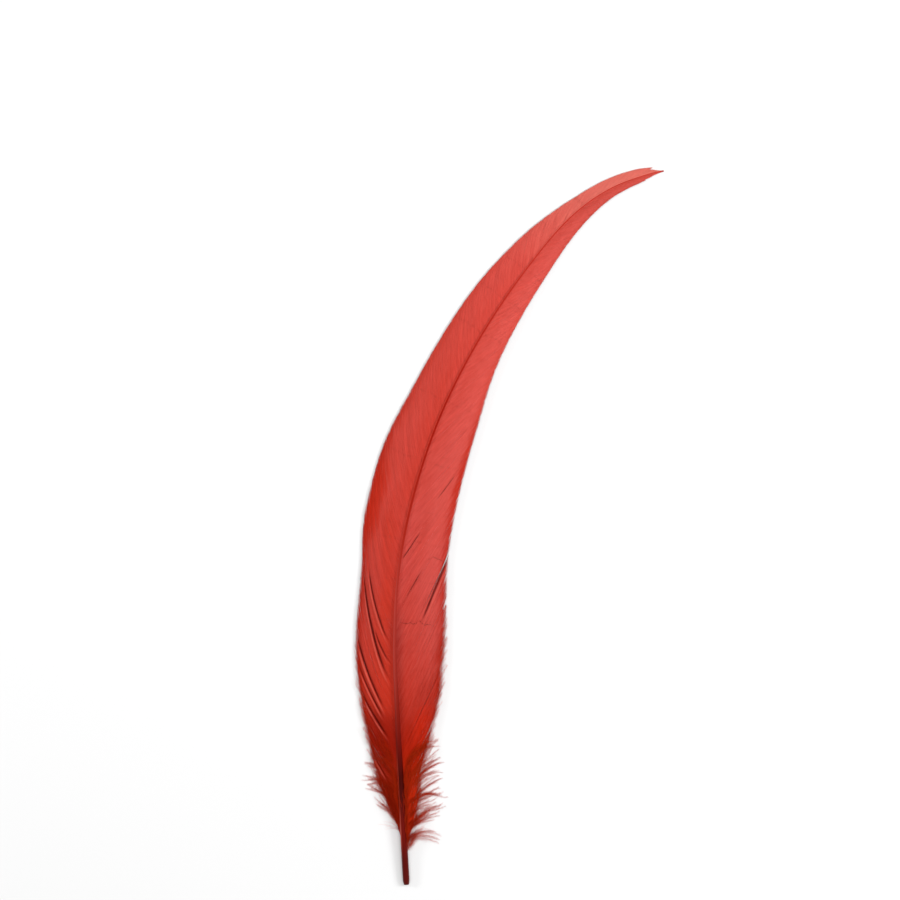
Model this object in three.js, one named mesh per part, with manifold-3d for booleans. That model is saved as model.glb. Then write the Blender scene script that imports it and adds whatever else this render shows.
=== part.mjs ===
import * as THREE from 'three';
import { mergeVertices } from 'three/addons/utils/BufferGeometryUtils.js';
import Module from 'manifold-3d';

// One rooster tail feather, dyed red, lying on a flat surface with its upper side up.
// Millimetres, +Z up. The quill points to -Y, and the tip to +Y and +X.
// A station is a distance along the shaft from the end of the quill.
// The left vane is on the outside of the feather's bend, the right vane on the inside.

const { clamp, lerp, smoothstep } = THREE.MathUtils;

// Shaft: the plan of its centre line, scaled so that the curve is as long as SHAFT_LENGTH
const SHAFT_LENGTH = 330;
const SHAFT_ROUTE = [
  [0, 0],
  [-1.9, 35],
  [-3.5, 68],
  [-4.6, 98],
  [-2.9, 127.5],
  [3.1, 157],
  [13.1, 187],
  [27.4, 216],
  [45.7, 244],
  [66.2, 268.5],
  [82.2, 280],
  [98, 286],
  [103.6, 287.2],
];
const SHAFT_ARCH = 6.5;
const SHAFT_WIDTHS = [[0, 2.1], [2, 2.7], [40, 2.6], [80, 2.1], [130, 1.5], [220, 1.1], [330, 0.6]];
const SHAFT_SIDES = 10;
const SHAFT_STEPS = 36;
const SHAFT_CROWDING = 1.3;
const QUILL_HOLE_WIDTH = 1.1;
const QUILL_HOLE_DEPTH = 3;
const QUILL_ROUNDING = 1.2;
const GROOVE_START = 14;
const GROOVE_FULL = 48;
const GROOVE_SHARE = 0.45;

// Vanes: half widths, how far forward a barb reaches from its root, and how it gets there, from 1 where
// it hugs the shaft at first to -1 where it leaves it at once and bends forward, each as [station, value];
// and the long slits, as [root station, share of the barb where it opens]
const VANE_START = 15;
const VANE_END = 327;
const LAST_STATION = SHAFT_LENGTH - 0.5;
const LEFT_VANE = {
  side: -1,
  seed: 11,
  widths: [[15, 1.5], [24, 1.8], [28, 2.7], [32, 4.6], [36, 6.6], [42, 8.9], [48, 10.5], [68, 13.7],
    [98, 16], [124, 15.2], [150, 17.8], [168, 17.8], [200, 14.8], [244, 12.7], [269, 9.7], [287, 6.2],
    [296, 4.9], [308, 4.1], [320, 3.3], [326, 2.2], [330, 0.3]],
  sweeps: [[15, 13], [30, 22], [50, 28], [66, 40], [80, 57], [100, 54], [135, 38], [200, 28], [260, 17],
    [300, 11], [327, 3]],
  courses: [[15, 0.2], [40, 0.2], [55, 0], [64, -0.8], [75, -1], [100, -1], [125, -0.4], [150, 0]],
  slits: [[51, 0.2], [60, 0.15], [70, 0.1], [79, 0.1], [97, 0.3]],
  edgeHeight: 0.7,
  roll: 1.7,
};
const RIGHT_VANE = {
  side: 1,
  seed: 23,
  widths: [[15, 1.5], [24, 5], [36, 7.4], [46, 8.6], [60, 13.2], [80, 18.6], [105, 20.7], [143, 18.6],
    [189, 16], [222, 11.4], [269, 7.5], [290, 5.5], [307, 3.5], [322, 2.1], [330, 0.3]],
  sweeps: [[15, 14], [30, 22], [50, 38], [85, 50], [110, 48], [150, 40], [200, 27], [260, 16],
    [300, 10], [327, 3]],
  courses: [[15, 0.3], [35, 0.5], [60, 0.3], [85, 0]],
  slits: [[88, 0.45], [134, 0.5]],
  edgeHeight: 0.9,
  roll: 2.3,
};
const THICKNESS_AT_SHAFT = 0.5;
const THICKNESS_AT_EDGE = 0.4;
const VANE_SEAT = 0.1;
const FULL_SHARE = 1.1;

// Barbs: how they turn outwards on each course, and how near to the shaft's middle they start
const BARB_BEND = 1.35;
const HUG_BEND = 1.5;
const BOW_BEND = 0.6;
const BOW_EASE = 0.02;
const ROOT_SHARE = 0.125;

// Locks: groups of barbs that hold together, each with a raised crest and a pointed end.
// The lowest are the down, the next are loose and ragged, and the rest close into a smooth edge.
const DOWN_LOCKS = 7;
const VANE_LOCKS = 31;
const LOCK_STEPS = 8;
const LOCK_CROWDING = 1.3;
const LOCK_RELIEF = 0.35;
const CREST_PLACE = 0.6;
const DOWN = { end: 42, split: 0.12, splitVariation: 0, raggedness: 0.3, puff: 1.6, fade: 10 };
const LOOSE = { end: 125, split: 0.88, splitVariation: 0.12, raggedness: 0.06 };
const CLOSED = { split: 0.97, splitVariation: 0.12, raggedness: 0.02 };
const SPLIT_PULL = 0.8;
const SLIT_PULL = 0.3;
const PULL_BEND = 0.8;

// Red dye
const FEATHER_RED = 0xc8402f;
const FEATHER_ROUGHNESS = 0.7;

const MERGE_DISTANCE = 1e-4;

const wasm = await Module();
wasm.setup();

// A repeatable row of numbers between 0 and 1
function makeRandom(seed) {
  const factor = 16807;
  const modulus = 2147483647;
  let state = seed;
  return () => {
    state = (state * factor) % modulus;
    return state / modulus;
  };
}

// A smooth curve through [place, value] keys, which never passes a key's own value
function valueAt(keys, place) {
  const last = keys.length - 1;
  if (place <= keys[0][0]) return keys[0][1];
  if (place >= keys[last][0]) return keys[last][1];
  const slope = (i) => (keys[i + 1][1] - keys[i][1]) / (keys[i + 1][0] - keys[i][0]);
  const tangent = (i) => {
    if (i === 0) return slope(0);
    if (i === last) return slope(last - 1);
    const before = slope(i - 1);
    const after = slope(i);
    return before * after > 0 ? (2 * before * after) / (before + after) : 0;
  };
  const i = keys.findIndex((key) => place < key[0]) - 1;
  const span = keys[i + 1][0] - keys[i][0];
  const t = (place - keys[i][0]) / span;
  return keys[i][1] * (1 + 2 * t) * (1 - t) ** 2
    + keys[i + 1][1] * t * t * (3 - 2 * t)
    + tangent(i) * span * t * (1 - t) ** 2
    - tangent(i + 1) * span * t * t * (1 - t);
}

// Points and faces for one closed mesh; faces run counter-clockwise seen from outside
function meshBuilder() {
  const positions = [];
  const faces = [];
  return {
    point: (p) => positions.push(p.x, p.y, p.z) / 3 - 1,
    quad: (a, b, c, d) => faces.push(a, b, c, a, c, d),
    triangle: (a, b, c) => faces.push(a, b, c),
    geometry: () => {
      const geometry = new THREE.BufferGeometry();
      geometry.setAttribute('position', new THREE.Float32BufferAttribute(positions, 3));
      geometry.setIndex(faces);
      return geometry;
    },
  };
}

// Shaft

const shaftCurve = new THREE.CatmullRomCurve3(
  SHAFT_ROUTE.map(([x, y]) => new THREE.Vector3(x, y, 0)), false, 'centripetal');
shaftCurve.arcLengthDivisions = 2000;
const shaftScale = SHAFT_LENGTH / shaftCurve.getLength();

const shaftWidth = (station) => valueAt(SHAFT_WIDTHS, station);

// The shaft rests on its quill and its tip, and arches between them
function shaftHeight(station) {
  return shaftWidth(station) / 2 + SHAFT_ARCH * Math.sin(Math.PI * station / SHAFT_LENGTH);
}

function shaftFrame(station) {
  const share = clamp(station / SHAFT_LENGTH, 0, 1);
  const centre = shaftCurve.getPointAt(share).multiplyScalar(shaftScale);
  const along = shaftCurve.getTangentAt(share);
  centre.z = shaftHeight(station);
  return { centre, across: new THREE.Vector3(along.y, -along.x, 0) };
}

// The shaft's section: round at the quill, with a groove along its underside further up
function shaftRing(station, width) {
  const { centre, across } = shaftFrame(station);
  const groove = GROOVE_SHARE * smoothstep(station, GROOVE_START, GROOVE_FULL);
  const ring = [];
  for (let side = 0; side < SHAFT_SIDES; side += 1) {
    const angle = Math.PI * (2 * side / SHAFT_SIDES - 0.5);
    const isLowest = side === 0;
    const point = centre.clone().addScaledVector(across, Math.cos(angle) * width / 2);
    point.z += Math.sin(angle) * (isLowest ? 1 - groove : 1) * width / 2;
    ring.push(point);
  }
  return ring;
}

function makeShaft() {
  const builder = meshBuilder();
  const sections = [
    [QUILL_HOLE_DEPTH, QUILL_HOLE_WIDTH],
    [0, QUILL_HOLE_WIDTH],
    [0, shaftWidth(0)],
  ];
  for (let step = 0; step <= SHAFT_STEPS; step += 1) {
    const toTip = SHAFT_LENGTH * (1 - step / SHAFT_STEPS) ** SHAFT_CROWDING;
    const station = Math.max(SHAFT_LENGTH - toTip, QUILL_ROUNDING);
    sections.push([station, shaftWidth(station)]);
  }
  const rings = sections.map(([station, width]) => shaftRing(station, width).map(builder.point));
  for (let i = 0; i < rings.length - 1; i += 1) {
    for (let side = 0; side < SHAFT_SIDES; side += 1) {
      const next = (side + 1) % SHAFT_SIDES;
      builder.quad(rings[i][side], rings[i + 1][side], rings[i + 1][next], rings[i][next]);
    }
  }
  const holeEnd = builder.point(shaftFrame(QUILL_HOLE_DEPTH).centre);
  const tip = builder.point(shaftFrame(SHAFT_LENGTH).centre);
  const lastRing = rings[rings.length - 1];
  for (let side = 0; side < SHAFT_SIDES; side += 1) {
    const next = (side + 1) % SHAFT_SIDES;
    builder.triangle(holeEnd, rings[0][side], rings[0][next]);
    builder.triangle(tip, lastRing[next], lastRing[side]);
  }
  return builder.geometry();
}

// Barbs

// The middle of a vane's thickness, at a station and a distance out from the shaft
function vaneSurface(vane, station, outwards) {
  const { centre, across } = shaftFrame(station);
  const share = Math.min(outwards / valueAt(vane.widths, station), FULL_SHARE);
  const seat = VANE_SEAT * shaftWidth(station) / 2;
  const drop = Math.max(centre.z + seat - vane.edgeHeight, 0);
  const point = centre.clone().addScaledVector(across, vane.side * outwards);
  point.z += seat - drop * share ** vane.roll;
  return point;
}

// How much of its way outwards a barb has made at t
function barbTurn(course, t) {
  const even = 1 - (1 - t) ** BARB_BEND;
  if (course > 0) return lerp(even, t ** HUG_BEND, course);
  const first = BOW_EASE ** BOW_BEND;
  const bowed = ((t + BOW_EASE) ** BOW_BEND - first) / ((1 + BOW_EASE) ** BOW_BEND - first);
  return lerp(even, bowed, -course);
}

// A point on the barb that grows from a root station, from 0 at the shaft to 1 at the vane's edge
function barbPoint(vane, root, t) {
  const sweep = valueAt(vane.sweeps, root);
  const width = valueAt(vane.widths, root + sweep);
  const turn = barbTurn(valueAt(vane.courses, root), t);
  const start = shaftWidth(root) * ROOT_SHARE;
  return vaneSurface(vane, Math.min(root + sweep * t, LAST_STATION), lerp(start, width, turn));
}

// Locks

const lockTime = (k) => 1 - (1 - k / LOCK_STEPS) ** LOCK_CROWDING;
const lockTimes = Array.from({ length: LOCK_STEPS + 1 }, (_, k) => lockTime(k));

function lockRoots() {
  const down = Array.from({ length: DOWN_LOCKS }, (_, i) => lerp(VANE_START, DOWN.end, i / DOWN_LOCKS));
  const rest = Array.from({ length: VANE_LOCKS + 1 }, (_, i) => lerp(DOWN.end, VANE_END, i / VANE_LOCKS));
  return [...down, ...rest];
}

function zoneOf(root) {
  if (root < DOWN.end) return DOWN;
  return root < LOOSE.end ? LOOSE : CLOSED;
}

// The gap before a lock: the step where it opens, and how far it pulls the locks' edges back
function gapBefore(vane, root, spacing, random) {
  const zone = zoneOf(root);
  const slit = vane.slits.find(([station]) => Math.abs(station - root) < spacing / 2);
  const opens = slit ? slit[1] : zone.split + zone.splitVariation * (random() - 0.5);
  return {
    start: lockTimes.findIndex((time, k) => k === LOCK_STEPS || lockTimes[k + 1] > opens),
    pull: slit ? SLIT_PULL : SPLIT_PULL,
  };
}

// The down stands a little above the rest
function downPuff(root, t) {
  const fade = 1 - smoothstep(root, DOWN.end - DOWN.fade, DOWN.end + DOWN.fade);
  return DOWN.puff * Math.sin(Math.PI * t) * fade;
}

// One vane: each lock has a rear edge, a crest and a front edge, which the next lock shares up to the gap
function makeVane(vane) {
  const random = makeRandom(vane.seed);
  const builder = meshBuilder();
  const roots = lockRoots();
  const spacings = roots.map((root, i) => (i > 0 ? root - roots[i - 1] : 1));
  const gaps = roots.map((root, i) => gapBefore(vane, root, spacings[i], random));
  const lengths = roots.map((root) => 1 - zoneOf(root).raggedness * random());

  const crestPoint = (lock, k) => {
    const root = lerp(roots[lock], roots[lock + 1], CREST_PLACE);
    const t = lockTimes[k] * lengths[lock];
    const point = barbPoint(vane, root, t);
    point.z += LOCK_RELIEF * Math.min(1, 2 * t) + downPuff(root, t);
    return point;
  };
  const edgePoint = (lock, gap, k) => {
    const t = lockTimes[k] * (lengths[gap] + lengths[Math.max(gap - 1, 0)]) / 2;
    const point = barbPoint(vane, roots[gap], t);
    point.z += downPuff(roots[gap], t);
    const { start, pull } = gaps[gap];
    const open = (k - start) / Math.max(LOCK_STEPS - start, 1);
    return open > 0 ? point.lerp(crestPoint(lock, k), pull * open ** PULL_BEND) : point;
  };
  const skins = (pointAt) => lockTimes.map((t, k) => {
    const point = pointAt(k);
    const half = lerp(THICKNESS_AT_SHAFT, THICKNESS_AT_EDGE, t) / 2;
    return {
      top: builder.point(point.clone().setZ(point.z + half)),
      bottom: builder.point(point.clone().setZ(point.z - half)),
    };
  });
  const quad = (a, b, c, d) => (vane.side < 0 ? builder.quad(a, d, c, b) : builder.quad(a, b, c, d));

  for (let lock = 0; lock < roots.length - 1; lock += 1) {
    const rear = skins((k) => edgePoint(lock, lock, k));
    const crest = skins((k) => crestPoint(lock, k));
    const front = skins((k) => edgePoint(lock, lock + 1, k));
    const isFirst = lock === 0;
    const isLast = lock === roots.length - 2;
    for (let k = 0; k < LOCK_STEPS; k += 1) {
      [[rear, crest], [crest, front]].forEach(([a, b]) => {
        quad(a[k].top, a[k + 1].top, b[k + 1].top, b[k].top);
        quad(a[k].bottom, b[k].bottom, b[k + 1].bottom, a[k + 1].bottom);
      });
      if (isFirst || k >= gaps[lock].start) {
        quad(rear[k].bottom, rear[k + 1].bottom, rear[k + 1].top, rear[k].top);
      }
      if (isLast || k >= gaps[lock + 1].start) {
        quad(front[k].bottom, front[k].top, front[k + 1].top, front[k + 1].bottom);
      }
    }
    [[rear, crest], [crest, front]].forEach(([a, b]) => {
      quad(a[0].bottom, a[0].top, b[0].top, b[0].bottom);
      quad(a[LOCK_STEPS].bottom, b[LOCK_STEPS].bottom, b[LOCK_STEPS].top, a[LOCK_STEPS].top);
    });
  }
  return builder.geometry();
}

// Feather

function toSolid(geometry) {
  const merged = mergeVertices(geometry, MERGE_DISTANCE);
  return new wasm.Manifold(new wasm.Mesh({
    numProp: 3,
    vertProperties: new Float32Array(merged.attributes.position.array),
    triVerts: new Uint32Array(merged.index.array),
  }));
}

function toGeometry(solid) {
  const mesh = solid.getMesh();
  const geometry = new THREE.BufferGeometry();
  geometry.setAttribute('position', new THREE.BufferAttribute(mesh.vertProperties, 3));
  geometry.setIndex(new THREE.BufferAttribute(mesh.triVerts, 1));
  return geometry;
}

// The shaft and both vanes grew as one piece, with the origin under the middle of its box
function makeFeather() {
  const whole = toSolid(makeShaft())
    .add(toSolid(makeVane(LEFT_VANE)))
    .add(toSolid(makeVane(RIGHT_VANE)));
  const geometry = toGeometry(whole);
  geometry.computeBoundingBox();
  const middle = geometry.boundingBox.getCenter(new THREE.Vector3());
  geometry.translate(-middle.x, -middle.y, -geometry.boundingBox.min.z);
  geometry.computeVertexNormals();
  return geometry;
}

const material = new THREE.MeshStandardMaterial({
  color: FEATHER_RED,
  roughness: FEATHER_ROUGHNESS,
  metalness: 0,
});
const feather = new THREE.Mesh(makeFeather(), material);
feather.name = 'feather';

const object = new THREE.Group();
object.add(feather);

export default object;
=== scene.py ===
"""A rooster tail feather, dyed red, lying on a pale floor with its upper side up."""

from types import SimpleNamespace

import bpy
import numpy as np
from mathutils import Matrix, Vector


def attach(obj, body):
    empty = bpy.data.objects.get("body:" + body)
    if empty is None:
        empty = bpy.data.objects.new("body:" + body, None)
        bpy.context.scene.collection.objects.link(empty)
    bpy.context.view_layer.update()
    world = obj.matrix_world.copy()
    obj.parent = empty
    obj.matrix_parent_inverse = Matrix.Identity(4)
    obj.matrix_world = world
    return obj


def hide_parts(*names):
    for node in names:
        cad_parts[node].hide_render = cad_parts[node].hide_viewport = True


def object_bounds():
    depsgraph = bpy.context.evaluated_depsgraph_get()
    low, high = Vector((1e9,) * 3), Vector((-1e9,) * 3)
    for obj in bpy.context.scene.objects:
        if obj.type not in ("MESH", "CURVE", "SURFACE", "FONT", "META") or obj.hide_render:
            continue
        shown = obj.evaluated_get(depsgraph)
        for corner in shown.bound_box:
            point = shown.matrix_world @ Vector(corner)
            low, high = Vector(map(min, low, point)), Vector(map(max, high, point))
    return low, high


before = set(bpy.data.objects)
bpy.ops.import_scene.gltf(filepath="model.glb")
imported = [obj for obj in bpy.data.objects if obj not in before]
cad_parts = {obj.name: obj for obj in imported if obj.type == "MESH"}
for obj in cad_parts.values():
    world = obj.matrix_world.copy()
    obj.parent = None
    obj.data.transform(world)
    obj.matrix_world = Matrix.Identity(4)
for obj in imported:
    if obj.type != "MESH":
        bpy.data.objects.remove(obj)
cad_low, cad_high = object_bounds()

# Lengths are millimetres until a mesh is made, and MM turns them into metres.
# A station is a distance along the shaft from the end of the quill.
# A table is (station, value) keys unless the comment above it says otherwise.
MM = 0.001

# Shaft: its centre line's plan as points, its arch, its widths and its mesh
SHAFT_LENGTH = 330.0
SHAFT_ROUTE = (
    (0, 0), (-1.9, 35), (-3.5, 68), (-4.6, 98), (-2.9, 127.5), (3.1, 157), (13.1, 187), (27.4, 216),
    (45.7, 244), (66.2, 268.5), (82.2, 280), (98, 286), (103.6, 287.2),
)
SHAFT_ARCH = 6.5
SHAFT_WIDTHS = ((0, 2.1), (2, 2.7), (40, 2.6), (80, 2.1), (130, 1.5), (220, 1.1), (330, 0.6))
ROUTE_SAMPLES = 400
SHAFT_SIDES = 28
SHAFT_STEPS = 420
SHAFT_CROWDING = 1.2

# Its ends, as (station, width) from the hole's inner end round the rim, and at the tip
QUILL_HOLE_WIDTH = 1.1
QUILL_HOLE = ((9, 0.02), (9, 0.5), (4, 0.9), (0.35, QUILL_HOLE_WIDTH))
QUILL_RIM = ((0.08, 1.22), (0, 1.5), (0, 1.9), (0.15, 2.15))
SHAFT_BODY = (0.5, SHAFT_LENGTH - 0.15)
SHAFT_TIP = ((SHAFT_LENGTH - 0.05, 0.42), (SHAFT_LENGTH, 0.2), (SHAFT_LENGTH, 0.02))

# Its underside: depths are shares of the radius, and the groove's spread is an angle
GROOVE_START = 14.0
GROOVE_FULL = 48.0
GROOVE_DEPTH = 0.45
GROOVE_SPREAD = 0.42
PIT_STATION = 13.6
PIT_REACH = 1.0
PIT_DEPTH = 0.5
PIT_ROWS = 13

# Picture: the shaft's length, the quill's end and the frame's side in pixels
MM_PER_PIXEL = SHAFT_LENGTH / 818.5
QUILL_END_PIXEL = (406.5, 884.0)
PICTURE_SIDE = 900

# Vanes. widths are half widths, and sweeps are how far forward a barb reaches from its root. Its course
# runs from 1, where it hugs the shaft at first, to -1, where it leaves it at once and bends forward.
# relief is how high the locks are crowned, and step is how far their front edges stand up.
# slits: root station, share of the barb where it opens, how far it opens
# creases: root station at the start and end, share of the barb at the start and end, depth, half width
# worn: the root stations between which barbs get shorter, and the share that they lose
# bars: station, and the shares of the vane's width between which a dark line runs
# stains: station, share of the vane's width, length, share across, colour
# base_tone fades in below base_end. orange, fibre_glints, trough and crown_highlight are shares of deeper
# orange, of painted glints on pale threads, of painted shade beside the shaft and of a painted highlight on
# the middle. The down starts down_shift further up, down_fill and down_length scale it, down_spread turns it
# outwards, and down_tones are its tone's range.
VANE_START = 15.0
VANE_END = 327.0
LAST_STATION = SHAFT_LENGTH - 0.5
VANE_SEAT = 0.1
FULL_SHARE = 1.1
BARB_BEND = 1.35
HUG_BEND = 1.5
BOW_BEND = 0.6
BOW_EASE = 0.02
ROOT_SHARE = 0.125
LEFT_VANE = SimpleNamespace(
    side=-1,
    seed=11,
    widths=(
        (15, 1.5), (24, 1.8), (28, 2.7), (32, 4.6), (36, 6.6), (42, 8.9), (48, 10.5), (68, 13.7),
        (98, 16), (124, 15.2), (150, 17.8), (168, 17.8), (200, 14.8), (244, 12.7), (269, 9.7), (287, 6.2),
        (296, 4.9), (308, 4.1), (320, 3.3), (326, 2.2), (330, 0.3),
    ),
    sweeps=(
        (15, 13), (30, 22), (50, 28), (66, 40), (80, 57), (100, 54), (135, 38), (200, 28), (260, 17),
        (300, 11), (327, 3),
    ),
    courses=((15, 0.2), (40, 0.2), (55, 0), (64, -0.8), (75, -1), (100, -1), (125, -0.4), (150, 0)),
    relief=((15, 0.3), (45, 0.3), (70, 0.18), (100, 0.15), (118, 0.1), (140, 0.06), (327, 0.03)),
    step=((15, 0.2), (45, 0.2), (70, 0.1), (100, 0.08), (118, 0.05), (140, 0.02), (327, 0)),
    edge_height=0.7,
    roll=1.7,
    slits=((51, 0.2, 0), (60, 0.15, 0), (70, 0.1, 0), (79, 0.1, 0), (97, 0.3, 0)),
    creases=(
        (79.6, 79.6, 0.01, 0.85, 1.0, 0.5),
        (88, 84, 0.02, 0.34, 0.5, 0.25),
        (95.5, 95.5, 0.02, 0.6, 0.7, 0.35),
        (64.3, 64.3, 0.12, 1.0, 0.9, 0.45),
        (59.5, 59.5, 0.2, 0.95, 0.7, 0.35),
        (54, 53, 0.15, 0.95, 0.8, 0.4),
        (42, 41.5, 0.1, 0.5, 0.5, 0.25),
        (34.2, 34.2, 0.35, 0.95, 0.7, 0.3),
        (25, 25, 0.45, 1.0, 0.5, 0.25),
    ),
    worn=((321, 322, 0.34),),
    base_tone=(134, 12, 1), base_end=94, tip_tone=(222, 116, 103),
    orange=0.5, fibre_glints=0.09, trough=0.22, crown_highlight=0.15,
    bars=(),
    stains=((152, 0.84, 20, 0.24, (196, 36, 8)), (60, 0.6, 14, 0.9, (146, 20, 4))),
    down_shift=9.0, down_fill=0.9, down_length=1.0, down_spread=0.0, down_tones=(0.0, 0.6),
)
RIGHT_VANE = SimpleNamespace(
    side=1,
    seed=23,
    widths=(
        (15, 1.5), (24, 5), (36, 7.4), (46, 8.6), (60, 13.2), (80, 18.6), (105, 20.7), (143, 18.6),
        (189, 16), (222, 11.4), (269, 7.5), (290, 5.5), (307, 3.5), (322, 2.1), (330, 0.3),
    ),
    sweeps=(
        (15, 14), (30, 22), (50, 38), (85, 50), (110, 48), (150, 40), (200, 27), (260, 16), (300, 10),
        (327, 3),
    ),
    courses=((15, 0.3), (35, 0.5), (60, 0.3), (85, 0)),
    relief=((15, 0.3), (45, 0.35), (70, 0.25), (100, 0.12), (140, 0.05), (327, 0.03)),
    step=((15, 0.2), (45, 0.15), (70, 0.08), (100, 0.04), (140, 0.02), (327, 0)),
    edge_height=0.9,
    roll=2.3,
    slits=((88, 0.45, 0.18), (134, 0.5, 0)),
    creases=(
        (130.2, 131.7, 0.0, 0.3, 0.35, 0.2),
        (108.7, 108.4, 0.14, 0.42, 0.3, 0.16),
        (138.7, 139.7, 0.44, 0.76, 0.3, 0.16),
        (84, 88.5, 0.38, 1.1, 0.5, 0.5),
    ),
    worn=((316, 317, 0.16),),
    base_tone=(222, 52, 14), base_end=66, tip_tone=(200, 72, 61),
    orange=0.0, fibre_glints=0.2, trough=0.42, crown_highlight=0.3,
    bars=((105.6, 0.1, 0.72), (133.7, 0.58, 0.9)),
    stains=((170, 0.98, 34, 0.16, (196, 36, 8)), (62, 0.7, 14, 0.3, (196, 36, 8))),
    down_shift=0.0, down_fill=0.78, down_length=1.32, down_spread=9.0, down_tones=(0.3, 1.0),
)

# Locks: barbs that hold together round a crest. A split is the share of a barb where the gap beside its
# lock opens, how much that share varies, and how far the barbs draw together.
DOWN_LOCKS = 7
VANE_LOCKS = 31
DOWN_END = 42.0
LOOSE_END = 125.0
CREST_PLACE = 0.6
DOWN_SPLIT = (0.6, 0.3, 0.3)
LOOSE_SPLIT = (0.93, 0.08, 0.2)
CLOSED_SPLIT = (0.985, 0.02, 0.3)
LOCK_OVERLAP = 0.9
LOCK_RISE = (0.02, 0.35)
PULL_BEND = 0.8
# Painted shade along the edges of the locks: how strong it is and how far it reaches
EDGE_SHADE = 0.6
EDGE_SHADE_WIDTH = 0.3

# Creases: how they fade at their ends, the crest behind each, raised and given a painted highlight, and how
# far down they may reach
CREASE_FADE = 0.3
CREASE_CREST = -2.2
CREASE_CREST_WIDTH = 1.1
CREASE_CREST_SHARE = 0.45
CREASE_FLOOR = 0.4
CREASE_FLOOR_SHARE = 0.6

# Barbs: how close they grow, how much their lengths vary, and their section
BARB_SPACING = 0.42
BARB_JITTER = 0.2
BARB_STEPS = 22
BARB_CROWDING = 1.3
BARB_ROOT_TIMES = (0.006, 0.014, 0.024, 0.036)
BARB_OVERLAP = 1.3
BARB_SIZES = {"Ridge": 0.5, "Keel": 0.5}
THINNEST_BARB = 0.02
CLOSEST_BARBS = 0.05
LOOSE_LOSS = 0.12
TIGHT_LOSS = 0.004
EDGE_WAVE = 0.04
RIPPLE_ROOTS = 2.6
RIPPLE_REACH = 0.22
RIPPLE_ALONE = 1.37
LOOSENESS = (
    (15, 1), (26, 0.75), (40, 0.4), (60, 0.2), (90, 0.1), (130, 0.04), (300, 0.03), (327, 0.16),
)

# Barbs where the vane is tight, and where it is loose: where their taper starts, their width at the tip
# and on the whole, and how far they rise and shift, with their neighbours and alone
TAPER_STARTS = (0.93, 0.55)
TIP_SHARES = (0.3, 0.12)
FULLNESS = (1, 1.25)
RISE_TOGETHER = (0.04, 0.54)
RISE_ALONE = (0.16, 1.06)
SHIFT_TOGETHER = (0.35, 0.85)
SHIFT_ALONE = (0.06, 0.56)

# Barbs leave the shaft over its shoulders, this share of its radius up
SHOULDERS = ((15, 0.1), (40, 0.15), (60, 0.45), (90, 0.68), (140, 0.8), (220, 0.88), (330, 0.95))
SHOULDER_START = 0.2
SHOULDER_PLACE = 0.6
SHOULDER_FADE = 0.9

# Down: tufts of loose barbs. Headings and turns are degrees off the shaft, lifts are heights over the
# vane, and fluff is the barbules' share of their full length.
FLUFF = SimpleNamespace(
    count=150, tufts=19, half_width=0.045, fluff=1.0,
    stations=(13.5, 50.0), lengths=((13, 6), (20, 10), (30, 14), (50, 15)),
    headings=(11, 42), turns=(-6, 45), lifts=(-1.6, 1.1),
)
STRANDS = SimpleNamespace(
    count=46, tufts=9, half_width=0.07, fluff=0.45,
    stations=(13.0, 42.0), lengths=((13, 9), (30, 14), (42, 12)),
    headings=(5, 16), turns=(-4, 16), lifts=(0.4, 1.6),
)
HAIRS = SimpleNamespace(
    count=7, tufts=7, half_width=0.035, fluff=0.0,
    stations=(12.5, 22.0), lengths=((12, 6), (17, 11), (22, 8)),
    headings=(20, 70), turns=(-60, 90), lifts=(-1.5, 0.5),
)
OVER_QUILL = SimpleNamespace(
    count=10, tufts=4, half_width=0.06, fluff=0.4,
    stations=(10.0, 27.0), lengths=((10, 7), (27, 12)),
    headings=(-7, 3), turns=(-4, 10), lifts=(1.35, 1.75),
)
DOWN_APART = SimpleNamespace(length=0.15, heading=5, spread=0.1, turn=9, lift=0.3, tone=0.2)
DOWN_LENGTHS = (0.8, 1.1)
DOWN_STEPS = 16
DOWN_ROOT_SHARE = 0.36
DOWN_TIP_SHARE = 0.35
DOWN_FLOOR_GAP = 0.25
DOWN_SETTLED = 0.6
DOWN_WAVES = 3
WAVE_TOGETHER = 30
WAVE_ALONE = 12
LOWEST_DOWN = (15, 34)
LOWEST_SPREAD = 4
FLUFF_SPAN = (0.12, 0.93)
FLUFF_BEND = 0.7
FREE_SHARES = (0.75, 1.15)
BARBULE_SIZES = {
    "Length": 2.1 * MM,
    "Spacing": 0.065 * MM,
    "Width": 0.016 * MM,
    "Floor Gap": 0.05 * MM,
    "Seed": 5,
}
BARBULE_LEAN = 18.0
LEAST_FLUFF = 0.05

# Fringe: fluff at the outer ends of the lowest barbs
FRINGE_END = 75.0
FRINGE_FULL = 45.0
FRINGE_STEPS = 11
FRINGE_REACH = (0.2, 2.2)
FRINGE_CURL = (-1.3, 1.3)
FRINGE_RISE = (-0.8, 0.9)
FRINGE_DROP = 0.05

# Dye from the quill to the tip, as screen colours
VANE_TONES = (
    (14, (96, 8, 1)), (24, (116, 10, 1)), (36, (140, 15, 1)), (48, (164, 24, 3)), (62, (168, 30, 9)),
    (78, (180, 46, 33)), (100, (190, 61, 53)), (130, (202, 73, 67)), (160, (206, 73, 64)),
    (230, (214, 77, 67)), (330, (220, 82, 74)),
)
SHAFT_TONES = (
    (0, (80, 11, 6)), (10, (80, 8, 3)), (18, (98, 9, 3)), (26, (98, 9, 3)), (36, (66, 3, 1)),
    (44, (62, 3, 1)), (52, (84, 10, 6)), (60, (102, 17, 10)), (68, (112, 22, 13)), (84, (136, 38, 30)),
    (112, (148, 44, 36)), (140, (148, 32, 20)), (190, (140, 20, 9)), (250, (164, 38, 27)),
    (330, (172, 40, 29)),
)

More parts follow.
